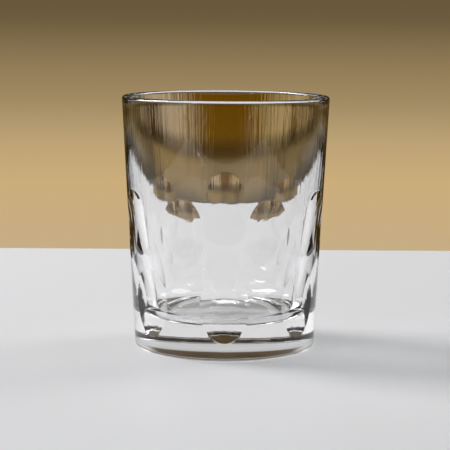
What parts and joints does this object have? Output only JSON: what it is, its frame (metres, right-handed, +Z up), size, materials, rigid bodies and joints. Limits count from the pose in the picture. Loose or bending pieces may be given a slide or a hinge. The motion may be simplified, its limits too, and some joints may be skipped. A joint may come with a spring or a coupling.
{
  "type": "cut glass tumbler",
  "caption": "Clear cut-crystal tumbler with a heavy solid base, a tapered wall, a rounded rim and staggered rows of flat oval cuts, for mixing and serving drinks.",
  "frame": {"origin": "centre of the plane that the glass stands on", "axes": "+Z up along the glass's axis; -Y through the middle of one oval of the lower row; +X to the right of it"},
  "size_m": [0.0822, 0.0822, 0.1],
  "materials": {
    "clear_crystal": "clear polished crystal, colourless, fire-polished rim, acid-polished oval cuts"
  },
  "bodies": {
    "root": {"glass_body": "clear_crystal"}
  },
  "joints": []
}
